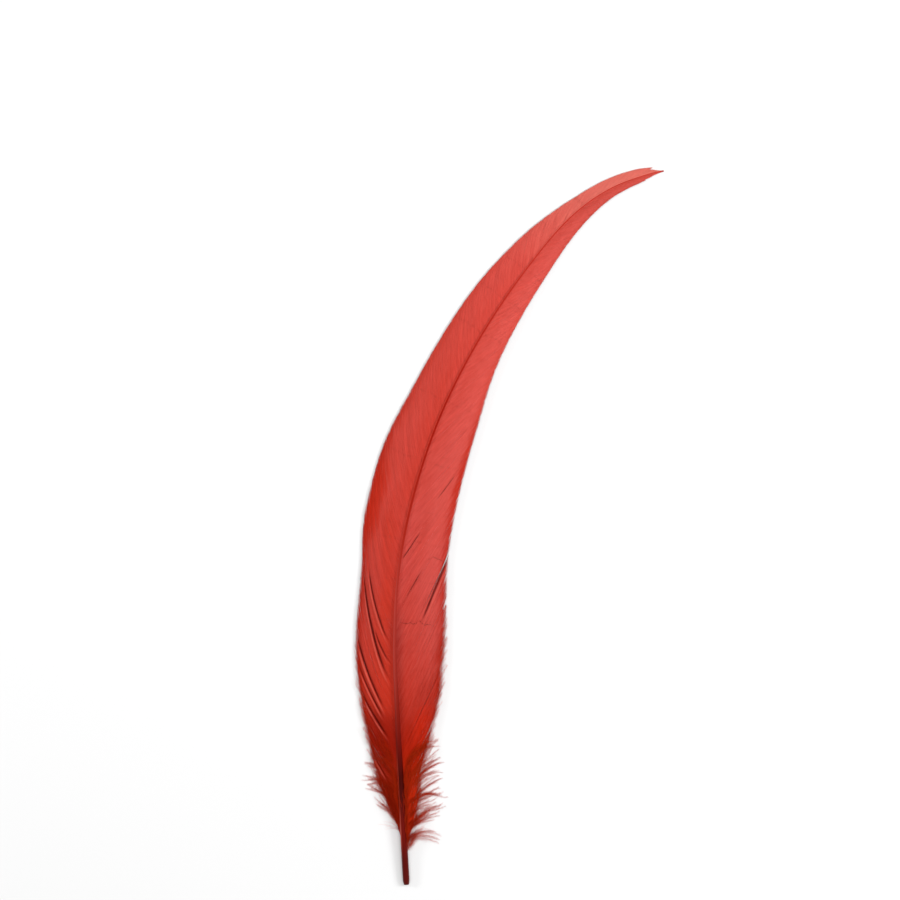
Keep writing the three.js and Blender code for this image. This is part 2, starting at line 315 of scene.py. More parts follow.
# Setting, in metres. Lights are a name, a place, a size, a power, and whether gloss shows them.
FLOOR_SIDE = 4.0
LENS = 85.0
SENSOR = 36.0
ROOM_LIGHT = 0.28
LIGHTS = (
    ("overhead", (0.05, 0.1, 1.3), 1.6, 17.5, False),
    ("key", (0.85, 0.2, 0.7), 0.35, 7.0, True),
    ("fill", (-0.9, 0.2, 0.45), 0.18, 2.5, True),
)


def lerp(a, b, share):
    return a + (b - a) * share


def smooth(x, low, high):
    """From 0 at low to 1 at high, without a corner."""
    t = np.clip((x - low) / (high - low), 0, 1)
    return t * t * (3 - 2 * t)


def unit(vectors):
    return vectors / np.linalg.norm(vectors, axis=-1, keepdims=True)


def value_at(keys, place):
    """A smooth curve through (place, value) keys, which never overshoots a key."""
    x, y = np.array(keys, float).T
    slopes = np.diff(y) / np.diff(x)
    before, after = slopes[:-1], slopes[1:]
    turns = before * after <= 0
    total = np.where(turns, 1, before + after)
    inner = np.where(turns, 0, 2 * before * after / total)
    tangents = np.concatenate([slopes[:1], inner, slopes[-1:]])
    i = np.clip(np.searchsorted(x, place, side="right") - 1, 0, len(x) - 2)
    span = x[i + 1] - x[i]
    t = np.clip((place - x[i]) / span, 0, 1)
    return (
        y[i] * (1 + 2 * t) * (1 - t) ** 2
        + y[i + 1] * t * t * (3 - 2 * t)
        + tangents[i] * span * t * (1 - t) ** 2
        - tangents[i + 1] * span * t * t * (1 - t)
    )


def drift(place, step, seed):
    """A smooth random line between -1 and 1, which turns about once in each step of place."""
    random = np.random.default_rng(seed)
    knots = random.uniform(-1, 1, int(np.ceil(np.max(place) / step)) + 3)
    x = np.asarray(place) / step
    i = np.floor(x).astype(int)
    return lerp(knots[i], knots[i + 1], smooth(x - i, 0, 1))


def ripple(rows, columns, seed):
    """Smooth random values between -1 and 1 over two grids of places, alike where the places are near."""
    random = np.random.default_rng(seed)
    i, j = np.floor(rows).astype(int), np.floor(columns).astype(int)
    knots = random.uniform(-1, 1, (i.max() + 2, j.max() + 2))
    u, v = smooth(rows - i, 0, 1), smooth(columns - j, 0, 1)
    near = lerp(knots[i, j], knots[i + 1, j], u)
    far = lerp(knots[i, j + 1], knots[i + 1, j + 1], u)
    return lerp(near, far, v)


# Shaft line


def route_line():
    """Points close together on the centre line's plan, one row each, by the centripetal rule."""
    route = np.array(SHAFT_ROUTE, float)
    route = np.vstack([2 * route[0] - route[1], route, 2 * route[-1] - route[-2]])
    t = np.linspace(0, 1, ROUTE_SAMPLES, endpoint=False)[:, None]
    pieces = []
    for before, start, end, after in zip(route, route[1:], route[2:], route[3:]):
        gap_in = np.linalg.norm(start - before) ** 0.5
        gap = np.linalg.norm(end - start) ** 0.5
        gap_out = np.linalg.norm(after - end) ** 0.5
        leaving = end - start + gap * ((start - before) / gap_in - (end - before) / (gap_in + gap))
        arriving = end - start + gap * ((after - end) / gap_out - (after - start) / (gap + gap_out))
        pieces.append(
            start
            + leaving * t
            + (3 * (end - start) - 2 * leaving - arriving) * t**2
            + (leaving + arriving - 2 * (end - start)) * t**3
        )
    return np.vstack([*pieces, route[-2]])


def shaft_line():
    """Stations, plan points and directions along the shaft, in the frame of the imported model."""
    line = route_line()
    stations = np.concatenate([[0], np.cumsum(np.linalg.norm(np.diff(line, axis=0), axis=1))])
    scale = SHAFT_LENGTH / stations[-1]
    stations, line = stations * scale, line * scale
    directions = unit(np.gradient(line, stations, axis=0))
    quill_reach = abs(directions[0, 0]) * SHAFT_WIDTHS[0][1] / 2
    tip_reach = abs(directions[-1, 1]) * SHAFT_WIDTHS[-1][1] / 2
    shift_x = cad_high[0] / MM - tip_reach - line[-1, 0]
    shift_y = cad_low[1] / MM + quill_reach - line[0, 1]
    return stations, line + (shift_x, shift_y), directions


STATIONS, SHAFT_PLAN, SHAFT_DIRECTIONS = shaft_line()


def shaft_width(station):
    return value_at(SHAFT_WIDTHS, station)


def shaft_height(station):
    """The shaft rests on its quill and its tip, and arches between them."""
    return shaft_width(station) / 2 + SHAFT_ARCH * np.sin(np.pi * station / SHAFT_LENGTH)


def shaft_frame(station):
    """The shaft's centre, and the direction across it to the right."""
    station = np.clip(station, 0, SHAFT_LENGTH)
    x, y = (np.interp(station, STATIONS, column) for column in SHAFT_PLAN.T)
    along_x, along_y = (np.interp(station, STATIONS, column) for column in SHAFT_DIRECTIONS.T)
    centre = np.stack([x, y, shaft_height(station)], axis=-1)
    return centre, np.stack([along_y, -along_x, np.zeros_like(along_x)], axis=-1)


# Vane surface


def vane_surface(vane, station, outwards):
    """The middle of a vane's thickness, at a station and a distance out from the shaft."""
    centre, across = shaft_frame(station)
    share = np.clip(outwards / value_at(vane.widths, station), 0, FULL_SHARE)
    seat = VANE_SEAT * shaft_width(station) / 2
    drop = np.maximum(centre[..., 2] + seat - vane.edge_height, 0)
    point = centre + across * (vane.side * outwards)[..., None]
    point[..., 2] += seat - drop * share**vane.roll
    return point


def barb_turn(course, t):
    """How much of its way outwards a barb has made at t."""
    even = 1 - (1 - np.minimum(t, 1)) ** BARB_BEND
    first = BOW_EASE**BOW_BEND
    bowed = ((t + BOW_EASE) ** BOW_BEND - first) / ((1 + BOW_EASE) ** BOW_BEND - first)
    hugged = t**HUG_BEND
    return even + np.maximum(course, 0) * (hugged - even) + np.maximum(-course, 0) * (bowed - even)


def barb_place(vane, root, t):
    """Where a barb is, from 0 at its root to 1 at the vane's edge: its station and how far out."""
    sweep = value_at(vane.sweeps, root)
    width = value_at(vane.widths, root + sweep)
    turn = barb_turn(value_at(vane.courses, root), t)
    start = shaft_width(root) * ROOT_SHARE
    return np.minimum(root + sweep * t, LAST_STATION), lerp(start, width, turn)


def barb_point(vane, root, t):
    return vane_surface(vane, *barb_place(vane, root, t))


def shoulder_height(station, outwards):
    """How far the shaft's shoulder lifts a barb above the vane's own surface."""
    half = shaft_width(station) / 2
    share = outwards / half
    lift = (value_at(SHOULDERS, station) - VANE_SEAT) * half
    fade = np.exp(-((np.maximum(share - SHOULDER_PLACE, 0) / SHOULDER_FADE) ** 2))
    return lift * smooth(share, SHOULDER_START, SHOULDER_PLACE) * fade


def crease_depth(vane, root, t, spread):
    """How deep the creases are at each point, and the painted shade there, or below 0 the painted highlight
    on a crest.
    """
    depth = np.zeros_like(t)
    shade = np.zeros_like(t)
    for root_in, root_out, start, end, deepest, half_width in vane.creases:
        line = lerp(root_in, root_out, np.clip((t - start) / (end - start), 0, 1))
        distance = (root - line) * spread / half_width
        margin = CREASE_FADE * (end - start)
        window = smooth(t, start, start + margin) * (1 - smooth(t, end - margin, end))
        crest = np.exp(-(((distance - CREASE_CREST) / CREASE_CREST_WIDTH) ** 2))
        depth += deepest * window * (np.exp(-np.abs(distance) ** 1.5) - CREASE_CREST_SHARE * crest)
        shade += window * (np.exp(-(distance**4)) - min(deepest, 1) * crest)
    return depth, np.clip(shade, -1, 1)


# Vane barbs


def lock_edges():
    """The root stations at which one lock ends and the next begins."""
    down = lerp(VANE_START, DOWN_END, np.arange(DOWN_LOCKS) / DOWN_LOCKS)
    rest = lerp(DOWN_END, VANE_END, np.arange(VANE_LOCKS + 1) / VANE_LOCKS)
    return np.concatenate([down, rest])


def gap_starts(vane, edges):
    """The gap at each lock's edge: the share of a barb where it opens, and how far it pulls barbs back."""
    random = np.random.default_rng(vane.seed)
    starts = np.empty(len(edges))
    pulls = np.empty(len(edges))
    spacing = np.diff(edges, append=edges[-1] + 1)
    for i, root in enumerate(edges):
        start, variation, pull = CLOSED_SPLIT
        if root < LOOSE_END:
            start, variation, pull = DOWN_SPLIT if root < DOWN_END else LOOSE_SPLIT
        starts[i] = start + variation * random.uniform(-0.5, 0.5)
        pulls[i] = pull
        for slit_root, slit_start, slit_pull in vane.slits:
            if abs(slit_root - root) < spacing[i] / 2:
                starts[i] = slit_start
                pulls[i] = slit_pull
    return starts, pulls


def barb_roots(vane):
    """Where the barbs grow, how loose each is, and the share of its full length that it has."""
    random = np.random.default_rng(vane.seed + 1)
    count = int((VANE_END - VANE_START) / BARB_SPACING)
    roots = VANE_START + (np.arange(count) + 0.5) * (VANE_END - VANE_START) / count
    roots += random.uniform(-BARB_JITTER, BARB_JITTER, count) * BARB_SPACING
    looseness = value_at(LOOSENESS, roots)
    lengths = 1 - looseness * random.uniform(0, LOOSE_LOSS, count) - random.uniform(0, TIGHT_LOSS, count)
    lengths -= looseness * EDGE_WAVE * (1 + drift(roots, RIPPLE_ROOTS, vane.seed + 6))
    for start, end, loss in vane.worn:
        lengths -= loss * smooth(roots, start, end)
    return roots, looseness, lengths


def barb_times():
    """Places along a barb from 0 to 1, closer together at its root and its tip."""
    times = 1 - (1 - np.linspace(0, 1, BARB_STEPS + 1)) ** BARB_CROWDING
    return np.concatenate([times[:1], BARB_ROOT_TIMES, times[1:]])


def gathered_points(vane, edges, lock, place, root, times, t):
    """The barbs' points, drawn towards their lock's crest beyond the start of the gap beside it."""
    starts, pulls = gap_starts(vane, edges)
    crest_roots = lerp(edges[lock], edges[lock + 1], CREST_PLACE)
    behind, ahead = 1 - place / CREST_PLACE, (place - CREST_PLACE) / (1 - CREST_PLACE)
    from_crest = np.where(place < CREST_PLACE, behind, ahead)
    gap = np.where(place < CREST_PLACE, lock, lock + 1)
    opened = np.clip((times - starts[gap][:, None]) / (1 - starts[gap][:, None]), 0, 1)
    gather = from_crest[:, None] * pulls[gap][:, None] * opened**PULL_BEND
    return lerp(barb_point(vane, root, t), barb_point(vane, crest_roots[:, None], t), gather[..., None])


def barb_sides(points, roots, lock, side):
    """The way along each barb, the way across to the lock's next barb as far as it is, and the way up."""
    along = unit(np.gradient(points, axis=1))
    beside = np.empty_like(points)
    for number in np.unique(lock):
        members = np.flatnonzero(lock == number)
        beside[members] = np.gradient(points[members], roots[members], axis=0) * BARB_SPACING
    beside -= along * np.sum(beside * along, axis=2, keepdims=True)
    up = np.cross(along, beside) * side
    up /= np.maximum(np.linalg.norm(up, axis=2, keepdims=True), 1e-9)
    return along, beside, up * np.sign(up[..., 2:])


def vane_barbs(vane):
    """The lines that a vane's barbs follow, with what their sections and their dye need."""
    edges = lock_edges()
    roots, looseness, lengths = barb_roots(vane)
    lock = np.clip(np.searchsorted(edges, roots, side="right") - 1, 0, len(edges) - 2)
    place = (roots - edges[lock]) / (edges[lock + 1] - edges[lock])
    times = barb_times()
    t = times * lengths[:, None]
    root = np.broadcast_to(roots[:, None], t.shape)
    points = gathered_points(vane, edges, lock, place, root, times, t)
    station, outwards = barb_place(vane, root, t)
    points[..., 2] += shoulder_height(station, outwards)
    along, beside, up = barb_sides(points, roots, lock, vane.side)
    spacing = np.linalg.norm(beside, axis=2)

    # Relief: a lock is crowned, and its front edge lies over the next lock's rear edge
    rise = smooth(t, *LOCK_RISE)
    relief = value_at(vane.relief, roots)
    step = value_at(vane.step, roots)
    points[..., 2] += rise * (relief * (1 - (2 * place - 1) ** 2) + step * (place - 0.5))[:, None]
    overlap = rise * (LOCK_OVERLAP * step * smooth(place, 0.5, 1))[:, None]
    points += beside / np.maximum(spacing, THINNEST_BARB)[..., None] * overlap[..., None]
    lock_width = (edges[lock + 1] - edges[lock]) / BARB_SPACING
    lock_width *= np.maximum(spacing.mean(axis=1), CLOSEST_BARBS)
    tilt = np.arctan2(relief * (4 - 8 * place) + step, lock_width)[:, None] * rise
    side_way = np.cross(up, along)
    forward = side_way * np.sign(np.sum(side_way * beside, axis=2, keepdims=True))
    up = up * np.cos(tilt)[..., None] - forward * np.sin(tilt)[..., None]

    # Barbs stray, neighbours together and each a little on its own, more so where the vane is loose
    loose = looseness[:, None]
    together = (root / RIPPLE_ROOTS, t / RIPPLE_REACH)
    alone = (np.broadcast_to(np.arange(len(roots))[:, None] * RIPPLE_ALONE, t.shape), together[1])
    own = spacing * smooth(t, 0.05, 0.6)
    rises = ripple(*together, vane.seed + 2) * t * lerp(*RISE_TOGETHER, loose)
    rises += ripple(*alone, vane.seed + 3) * own * lerp(*RISE_ALONE, loose)
    shifts = ripple(*together, vane.seed + 4) * loose * t * lerp(*SHIFT_TOGETHER, loose)
    shifts += ripple(*alone, vane.seed + 5) * own * lerp(*SHIFT_ALONE, loose)
    points += up * rises[..., None]
    points += forward * shifts[..., None]

    taper = lerp(1, lerp(*TIP_SHARES, loose), smooth(times, lerp(*TAPER_STARTS, loose), 1))
    half_width = spacing * 0.5 * BARB_OVERLAP * taper * lerp(*FULLNESS, loose)
    depth, slit = crease_depth(vane, root, t, np.maximum(spacing / BARB_SPACING, CLOSEST_BARBS))
    deepest = lerp(points[..., 2], CREASE_FLOOR, CREASE_FLOOR_SHARE)
    points[..., 2] = np.maximum(points[..., 2] - depth, deepest)
    edge_gap = (np.minimum(place, 1 - place) * lock_width)[:, None]
    return {
        "points": points,
        "up": up,
        "half_width": np.maximum(half_width, THINNEST_BARB),
        "station": station,
        "root": root,
        "reach": t,
        "outness": outwards / value_at(vane.widths, station),
        # Painted shade in the creases and along the locks' edges, and below 0 a painted highlight on the
        # crests
        "slit": slit + EDGE_SHADE * np.exp(-edge_gap / EDGE_SHADE_WIDTH) * step[:, None] * rise,
    }


# Down


def down_lines(points, half_width, **values):
    """Loose barbs over the floor, which taper, with the values that their tree and their dye need."""
    points[..., 2] = np.maximum(points[..., 2], DOWN_FLOOR_GAP)
    values["half_width"] = half_width * lerp(1, DOWN_TIP_SHARE, np.linspace(0, 1, DOWN_STEPS + 1))
    shape = points.shape[:2]
    return {"points": points} | {key: np.broadcast_to(value, shape) for key, value in values.items()}


def loose_barbs(vane, group, seed):
    """Lines in tufts that leave the shaft on one side, curl, and settle on or under the vane."""
    random = np.random.default_rng(seed)
    fill, longer, wider = 1, 1, 0
    if group is FLUFF:
        fill, longer, wider = vane.down_fill, vane.down_length, vane.down_spread
    count = round(group.count * fill)
    tuft = np.arange(count) * group.tufts // count
    u = np.linspace(0, 1, DOWN_STEPS + 1)

    def chance(low, high, apart):
        """A random value for each tuft, from which its barbs differ by up to a distance apart."""
        shared = random.uniform(low, high, group.tufts)
        return shared[tuft] + random.uniform(-apart, apart, count)

    def waves(numbers, offset, wave_seed):
        """A wandering line for each number, alike for like numbers."""
        return np.stack([drift(u * DOWN_WAVES + number * offset, 1, wave_seed) for number in numbers])

    first, last = group.stations
    root = lerp(first + vane.down_shift, last, (np.arange(count) + random.uniform(0, 1, count)) / count)
    length = value_at(group.lengths, root) * chance(*DOWN_LENGTHS, DOWN_APART.length) * longer
    heading = chance(*group.headings, DOWN_APART.heading) + wider
    lowest = 1 - smooth(root, *LOWEST_DOWN)
    heading += chance(0, 1, DOWN_APART.spread) * LOWEST_SPREAD * wider * lowest
    turn = chance(*group.turns, DOWN_APART.turn)
    wave = WAVE_TOGETHER * waves(tuft, 4.3, seed + 1) + WAVE_ALONE * waves(range(count), 5.7, seed + 2)
    course = np.radians(heading[:, None] + turn[:, None] * u + wave * u)
    ds = (length / DOWN_STEPS)[:, None]
    forward = np.cumsum(np.cos(course) * ds, axis=1) - np.cos(course[:, :1]) * ds
    sideways = np.cumsum(np.sin(course) * ds, axis=1) - np.sin(course[:, :1]) * ds

    centre, across = shaft_frame(root)
    along = np.stack([-across[:, 1], across[:, 0], np.zeros(count)], axis=1)
    start = centre + across * (vane.side * DOWN_ROOT_SHARE * shaft_width(root))[:, None]
    points = start[:, None, :] + along[:, None, :] * forward[..., None]
    points += across[:, None, :] * (vane.side * sideways)[..., None]
    station = root[:, None] + forward
    rest = vane_surface(vane, station, np.abs(sideways))[..., 2]
    rest += chance(*group.lifts, DOWN_APART.lift)[:, None]
    points[..., 2] = lerp(points[..., 2], rest, smooth(u, 0, DOWN_SETTLED))
    return down_lines(
        points,
        group.half_width,
        station=station,
        fluff=group.fluff * np.sin(np.pi * lerp(*FLUFF_SPAN, u**FLUFF_BEND)),
        tone=np.clip(chance(*vane.down_tones, DOWN_APART.tone), 0, 1)[:, None],
        free=smooth(np.abs(sideways) / value_at(vane.widths, station), *FREE_SHARES),
    )


def fringe_barbs(barbs, seed):
    """The outer ends of a vane's lowest barbs, drawn out into fluff that curls past the vane's edge."""
    random = np.random.default_rng(seed)
    chosen = np.flatnonzero(barbs["root"][:, 0] < FRINGE_END)
    line, station = (barbs[key][chosen][:, -FRINGE_STEPS:] for key in ("points", "station"))
    u = np.linspace(0, 1, DOWN_STEPS + 1)
    places = lerp(0, FRINGE_STEPS - 1, u)
    whole = np.minimum(places.astype(int), FRINGE_STEPS - 2)
    part = places - whole
    points = lerp(line[:, whole], line[:, whole + 1], part[:, None])
    fade = 1 - smooth(barbs["root"][chosen][:, :1], FRINGE_FULL, FRINGE_END)
    ahead = unit(line[:, -1] - line[:, -3])[:, None, :]
    outwards = np.stack([-ahead[..., 1], ahead[..., 0], np.zeros_like(ahead[..., 0])], axis=-1)

    def chance(low, high):
        """A random value for each barb."""
        return random.uniform(low, high, (len(chosen), 1))

    reach = fade * chance(*FRINGE_REACH)
    curl = fade * chance(*FRINGE_CURL)
    end = smooth(u, 0.35, 1)
    points = points + ahead * (reach * u**2)[..., None]
    points += outwards * (curl * end)[..., None]
    points[..., 2] += chance(*FRINGE_RISE) * fade * end
    points[..., 2] -= FRINGE_DROP
    return down_lines(
        points,
        FLUFF.half_width,
        station=lerp(station[:, whole], station[:, whole + 1], part),
        fluff=lerp(0.25, 1, fade) * smooth(u, 0, 0.5) * lerp(0.8, 0.4, u),
        tone=chance(0, 1),
        free=smooth(u, 0.5, 0.9),
    )


def down_barbs(vane, seed):
    """All the loose barbs of one side. Some of the right side's lie over the quill."""
    kinds = (FLUFF, STRANDS, HAIRS, OVER_QUILL) if vane is RIGHT_VANE else (FLUFF, STRANDS, HAIRS)
    groups = [loose_barbs(vane, group, seed + 10 * i) for i, group in enumerate(kinds)]
    return {key: np.concatenate([group[key] for group in groups]) for key in groups[0]}


# Node trees


def arithmetic(operation, swapped=False):
    """A method that adds a Math node, with the other value first if swapped."""

    def method(self, other):
        values = (other, self) if swapped else (self, other)
        return self.nodes.math(operation, *values)

    return method


class Value:
    """A node's output, which takes part in sums as a number does."""

    __add__ = arithmetic("ADD")
    __radd__ = arithmetic("ADD", swapped=True)
    __sub__ = arithmetic("SUBTRACT")
    __rsub__ = arithmetic("SUBTRACT", swapped=True)
    __mul__ = arithmetic("MULTIPLY")
    __rmul__ = arithmetic("MULTIPLY", swapped=True)
    __truediv__ = arithmetic("DIVIDE")
    __rtruediv__ = arithmetic("DIVIDE", swapped=True)

    def __init__(self, nodes, socket):
        self.nodes = nodes
        self.socket = socket

    def ramp(self, low, high):
        """From 0 to 1 while the value goes from low to high, held at both ends."""
        sockets = {"Value": self, "From Min": low, "From Max": high}
        return self.nodes.add("ShaderNodeMapRange", {"interpolation_type": "SMOOTHSTEP"}, sockets)


class Nodes:
    """Adds nodes to a tree."""

    def __init__(self, tree):
        self.tree = tree

    def add(self, kind, settings=None, sockets=None, output=0):
        """A node of a kind, its settings first, then the values or links of its sockets by name."""
        node = self.tree.nodes.new(kind)
        for name, value in (settings or {}).items():
            if name == "stops":
                self.set_stops(node.color_ramp, value)
            else:
                setattr(node, name, value)
        for name, value in (sockets or {}).items():
            socket = self.find(node.inputs, name)
            if isinstance(value, Value):
                self.tree.links.new(value.socket, socket)
            else:
                socket.default_value = value
        return Value(self, self.find(node.outputs, output))

    @staticmethod
    def set_stops(ramp, stops):
        """Gives a colour ramp its (place, colour) stops."""
        for place, _ in stops[2:]:
            ramp.elements.new(place)
        for element, (place, shade) in zip(ramp.elements, stops):
            element.position = place
            element.color = shade

    @staticmethod
    def find(sockets, name):
        """A socket by its number, its identifier or its name."""
        if isinstance(name, int):
            return sockets[name]
        by_identifier = [socket for socket in sockets if socket.identifier == name]
        return by_identifier[0] if by_identifier else sockets[name]

    def math(self, operation, *values):
        return self.add("ShaderNodeMath", {"operation": operation}, dict(enumerate(values)))

    def vector(self, x, y, z):
        return self.add("ShaderNodeCombineXYZ", None, {"X": x, "Y": y, "Z": z})

    def noise(self, x, y, z, detail=2, roughness=0.5):
        """Smooth random values, which turn about once in each unit of x, y and z."""
        sockets = {"Vector": self.vector(x, y, z), "Scale": 1, "Detail": detail, "Roughness": roughness}
        return self.add("ShaderNodeTexNoise", None, sockets)

    def attributes(self, *names):
        """The mesh's own values."""
        return [self.add("ShaderNodeAttribute", {"attribute_name": name}, None, "Fac") for name in names]

    def mix(self, first, second, share, blend="MIX"):
        """Two colours mixed, or blended in another way."""
        settings = {"data_type": "RGBA", "blend_type": blend}
        sockets = {"Factor_Float": share, "A_Color": first, "B_Color": second}
        return self.add("ShaderNodeMix", settings, sockets, "Result_Color")

    def darkened(self, tone, strength):
        return self.mix(tone, self.vector(strength, strength, strength), 1, "MULTIPLY")

    def painted(self, tone, layers):
        """A colour under layers of (screen colour, share)."""
        for shade, share in layers:
            tone = self.mix(tone, colour(*shade), share)
        return tone

    def along_shaft(self, tones, station):
        """The colour at a station, from (station, screen colour) keys."""
        stops = [(place / SHAFT_LENGTH, colour(*tone)) for place, tone in tones]
        return self.add("ShaderNodeValToRGB", {"stops": stops}, {"Fac": station / SHAFT_LENGTH}, "Color")


# Finishes


def colour(red, green, blue):
    """A colour given as seen on a screen, from 0 to 255, as the linear values that a shader takes."""
    shares = np.array([red, green, blue]) / 255
    linear = np.where(shares > 0.04045, ((shares + 0.055) / 1.055) ** 2.4, shares / 12.92)
    return (*[float(v) for v in linear], 1.0)


def new_material(name):
    material = bpy.data.materials.new(name)
    material.use_nodes = True
    material.node_tree.nodes.clear()
    return material, Nodes(material.node_tree)


def finish_material(nodes, surface):
    output = nodes.tree.nodes.new("ShaderNodeOutputMaterial")
    nodes.tree.links.new(surface.socket, output.inputs["Surface"])


def finish_dyed(nodes, sockets, glow, share):
    """A surface that lets a share of the light through, in the colour glow."""
    surface = nodes.add("ShaderNodeBsdfPrincipled", None, sockets)
    through = nodes.add("ShaderNodeBsdfTranslucent", None, {"Color": colour(*glow)})
    finish_material(nodes, nodes.add("ShaderNodeMixShader", None, {0: share, 1: surface, 2: through}))


def growth_lines(nodes, station, outness, root):
    """Faint, broken lines across the vane, one for each spell of the feather's growth."""
    wander = nodes.noise(outness * 2.5, station * 0.02, 5)
    lines = nodes.noise(station * 0.55 + wander * 1.6, 0, 31, 1)
    broken = nodes.noise(root * 0.6, outness * 2, 12, 3, 0.7)
    return lines.ramp(0.56, 0.68) * broken.ramp(0.42, 0.62)


def bar_mark(nodes, station, outness, root, place, start, end):
    """One darker, ragged line across the barbs, from one share of the vane's width to another."""
    wander = nodes.noise(outness * 7, 0, place, 3)
    distance = nodes.math("ABSOLUTE", station + (wander - 0.5) * 5 - place)
    thick = nodes.noise(root * 1.1, 3, place, 3, 0.8)
    broken = nodes.noise(root * 0.8, 0, place, 3, 0.8)
    inside = outness.ramp(start - 0.08, start + 0.08) * outness.ramp(end + 0.08, end - 0.08)
    return (distance - thick * 0.45).ramp(0.12, -0.08) * broken.ramp(0.42, 0.56) * inside


def stained_area(station, outness, place, out, length, width):
    """A soft spot round a place, where the dye is deeper."""
    along = (station - place) * (1 / length)
    over = (outness - out) * (1 / width)
    return (along * along + over * over).ramp(1, 0.1)


def dyed_vane(name, vane):
    """Dyed barbs: pinkish red, deeper and more orange towards the quill and at the edges, with painted shade
    at the edges, in the slits and beside the shaft, and painted highlights on the crests, the middle and the
    fibres.
    """
    material, nodes = new_material(name)
    station, root, reach, outness, slit = nodes.attributes("station", "root", "reach", "outness", "slit")
    streaks = nodes.noise(root * 0.5, reach * 1.4, 0, 3, 0.6).ramp(0.3, 0.7)
    hairlines = nodes.noise(root * 2.6, reach * 3, 4, 2, 0.6).ramp(0.3, 0.7)
    threads = nodes.noise(root, reach * 7, 6, 3, 0.7).ramp(0.36, 0.66)
    patches = nodes.noise(station * 0.03, outness * 1.5, 9)
    specks = nodes.noise(root * 1.2, station * 1.2, 2)
    ragged = streaks - 0.5

    # Layers, the lowest first. Along the vane: towards the quill, towards the tip, and orange patches
    deeper = patches.ramp(0.3, 0.7) * 0.4 + station.ramp(20, 44) * vane.orange
    layers = [
        (vane.base_tone, station.ramp(vane.base_end, 26) * 0.8),
        (vane.tip_tone, (station + ragged * 12).ramp(248, 314)),
        ((198, 50, 30), deeper * station.ramp(320, 120)),
    ]

    # Across it: a painted highlight on the middle, an outer edge deeper in orange dye and darkened with
    # painted shade where it rolls down, stains, and painted shade beside the shaft
    # A painted highlight on the middle of the vane, where it faces the light
    crown_highlight = outness.ramp(0.2, 0.65) * (outness + ragged * 0.2).ramp(0.94, 0.76)
    layers.append(((236, 102, 94), crown_highlight * station.ramp(62, 120) * vane.crown_highlight))
    edge = (outness + ragged * 0.12).ramp(0.78, 0.98) * station.ramp(212, 160)
    layers.append(((182, 26, 2), edge * station.ramp(50, 90) * 0.85))
    for *area, shade in vane.stains:
        layers.append((shade, stained_area(station, outness + ragged * 0.15, *area) * 0.8))
    trough = outness.ramp(0.09, 0.03) * station.ramp(320, 240)
    layers.append(((170, 32, 18), trough * station.ramp(40, 90) * 0.4))
    layers.append(((116, 8, 3), outness.ramp(0.24, 0.06) * station.ramp(124, 96) * vane.trough))

    # Marks: growth lines, bars and specks, then a painted highlight on bright crests, painted shade in dark
    # slits, and painted glints on pale fibres
    layers.append(((150, 40, 30), growth_lines(nodes, station, outness, root) * 0.3))
    for bar in vane.bars:
        layers.append(((110, 20, 14), bar_mark(nodes, station, outness, root, *bar) * 0.75))
    # Pale fibres: painted glints along the barbs
    fibres = (hairlines * 0.35 + threads * 0.65) * station.ramp(40, 100)
    layers += [
        ((126, 18, 10), specks.ramp(0.73, 0.8) * 0.5),
        ((244, 112, 96), slit.ramp(0, -0.9) * 0.5),
        ((104, 3, 0), slit.ramp(0, 1) * 0.95),
        ((240, 124, 114), fibres * vane.fibre_glints),
    ]
    tone = nodes.painted(nodes.along_shaft(VANE_TONES, station + (patches - 0.5) * 24), layers)
    sockets = {
        "Base Color": nodes.darkened(tone, 0.86 + streaks * 0.1 + hairlines * 0.05 + threads * 0.04),
        "Roughness": 0.5 + streaks * 0.15,
        "Specular IOR Level": 0.15,
        "Specular Tint": colour(255, 110, 84),
        "Sheen Weight": 0.1,
        "Sheen Roughness": 0.4,
        "Sheen Tint": colour(255, 100, 76),
    }
    finish_dyed(nodes, sockets, (214, 56, 38), 0.14)
    return material


def dyed_down():
    """Soft down, a deep orange red that is darker near the quill, with a painted glow that makes it paler at
    the barbules' tips and where it is free of the vane.
    """
    material, nodes = new_material("dyed_down")
    station, fibre, tone, free = nodes.attributes("station", "fibre", "tone", "free")
    # Painted glow of light through the thin down: paler at the barbules' tips (fibre) and where the down
    # lies free of the vane
    layers = (
        ((200, 44, 12), station.ramp(14, 50)),
        ((232, 78, 30), tone * 0.6),
        ((222, 72, 36), fibre * 0.3),
        ((244, 96, 66), free * 0.75),
    )
    sockets = {
        "Base Color": nodes.painted(colour(158, 19, 2), layers),
        "Roughness": 0.7,
        "Specular IOR Level": 0.08,
        "Specular Tint": colour(255, 110, 80),
        "Sheen Weight": 0.08,
        "Sheen Tint": colour(255, 100, 60),
    }
    finish_dyed(nodes, sockets, (214, 50, 14), 0.42)
    return material


